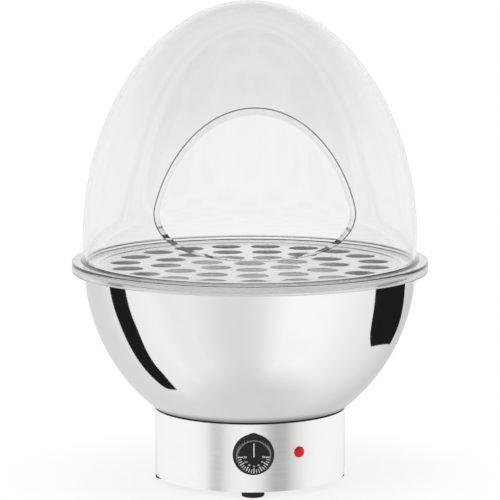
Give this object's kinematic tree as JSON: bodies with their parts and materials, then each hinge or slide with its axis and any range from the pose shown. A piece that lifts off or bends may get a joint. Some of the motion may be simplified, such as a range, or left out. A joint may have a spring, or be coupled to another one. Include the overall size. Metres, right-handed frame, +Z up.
{
  "type": "egg warmer",
  "caption": "Heated table-top egg holder: round base with a control knob, steel bowl, perforated tray and a clear egg-shaped dome with a hand opening.",
  "frame": {"origin": "on the table, under the centre of the base", "axes": "+Z up along the axis of bowl and dome; the front with the knob and the hand opening faces -Y; +X to the right for someone facing the front"},
  "size_m": [0.4198, 0.4198, 0.5671],
  "materials": {
    "clear_acrylic": "clear, polished",
    "clear_acrylic_band": "clear, polished edge",
    "polished_steel": "mirror polished stainless steel",
    "satin_steel": "fine satin stainless steel",
    "plated_steel": "zinc plated",
    "black_rubber": "matte",
    "knob_plastic": "fine satin",
    "knob_print": "satin with white print",
    "red_lens": "glossy, see-through red",
    "black_plastic": "moulded",
    "white_ceramic": "moulded insulating body",
    "element_sheath": "heat tinted",
    "copper": "drawn tube",
    "brass": "turned",
    "insulation": "pressed fibre board",
    "wire_sheath": "silicone"
  },
  "bodies": {
    "base": {"rubber_feet": "black_rubber", "foot_screws": "plated_steel", "foot_nuts": "plated_steel", "base_plate": "plated_steel", "base_ring": "satin_steel", "tie_rod": "plated_steel", "tie_nut": "plated_steel", "bowl": "polished_steel", "tray_ring": "satin_steel", "heating_element": "element_sheath", "heater_clamp": "plated_steel", "clamp_nut": "plated_steel", "insulation_disc": "insulation", "heater_pan": "plated_steel", "pan_nut": "plated_steel", "safety_cutout": "white_ceramic", "sensor_bulb": "copper", "capillary_tube": "copper", "thermostat_body": "white_ceramic", "thermostat_nut": "plated_steel", "pilot_lens": "red_lens", "pilot_body": "black_plastic", "pilot_clip": "plated_steel", "gland_body": "black_plastic", "gland_dome_nut": "black_plastic", "gland_lock_nut": "black_plastic", "gland_seal": "black_rubber", "terminal_block": "white_ceramic", "terminal_screws": "brass", "internal_wires": "wire_sheath", "earth_stud": "brass"},
    "knob": {"thermostat_shaft": "plated_steel", "knob": "knob_plastic", "knob_face": "knob_print", "knob_spring": "plated_steel"},
    "tray": {"egg_tray": "satin_steel"},
    "dome": {"dome": "clear_acrylic", "dome_flange": "clear_acrylic", "dome_seat_band": "clear_acrylic_band"}
  },
  "joints": [
    {"name": "knob_turn", "type": "hinge", "parent": "base", "child": "knob", "pos_m": [0, -0.12, 0.052], "axis": [0, 1, 0], "range_deg": [0, 270]},
    {"name": "dome_lift", "type": "slide", "parent": "base", "child": "dome", "axis": [0, 0, 1], "range_m": [0, 0.35]},
    {"name": "tray_lift", "type": "slide", "parent": "base", "child": "tray", "axis": [0, 0, 1], "range_m": [0, 0.12]}
  ]
}
